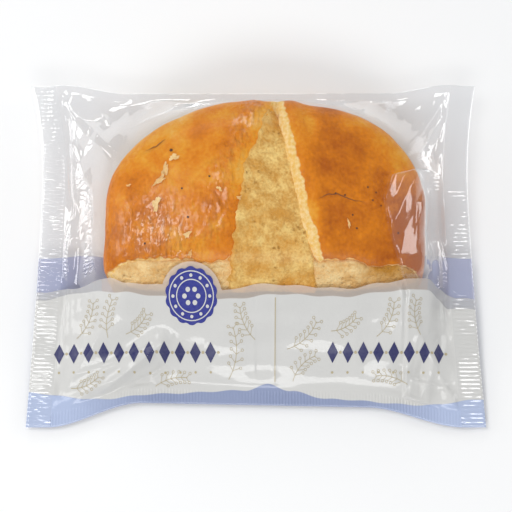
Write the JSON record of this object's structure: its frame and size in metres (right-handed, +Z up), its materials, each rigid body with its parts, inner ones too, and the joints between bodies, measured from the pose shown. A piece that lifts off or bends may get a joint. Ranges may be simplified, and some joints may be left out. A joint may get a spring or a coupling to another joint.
{
  "type": "packed hot cross bun",
  "caption": "Hot cross bun sealed in a clear printed film pack with crimped end seals, lying on its back with the bun showing.",
  "frame": {"origin": "centre of the pack's box, at the level the pack rests on", "axes": "+X along the pack from the left end seal to the right one, +Y from the fin seal to the folded edge behind the bun, +Z up out of the shown side"},
  "size_m": [0.1632, 0.1234, 0.0371],
  "materials": {
    "film": "clear glossy wrapping film",
    "print": "film printed white with a pale blue band",
    "print_blue": "solid blue print",
    "print_gold": "thin pale gold print",
    "crust": "glazed golden brown bread crust",
    "paste": "baked flour paste, matt and pitted",
    "crumb": "pale torn bread crumb"
  },
  "bodies": {
    "root": {"bun_pack": "film"}
  },
  "joints": []
}
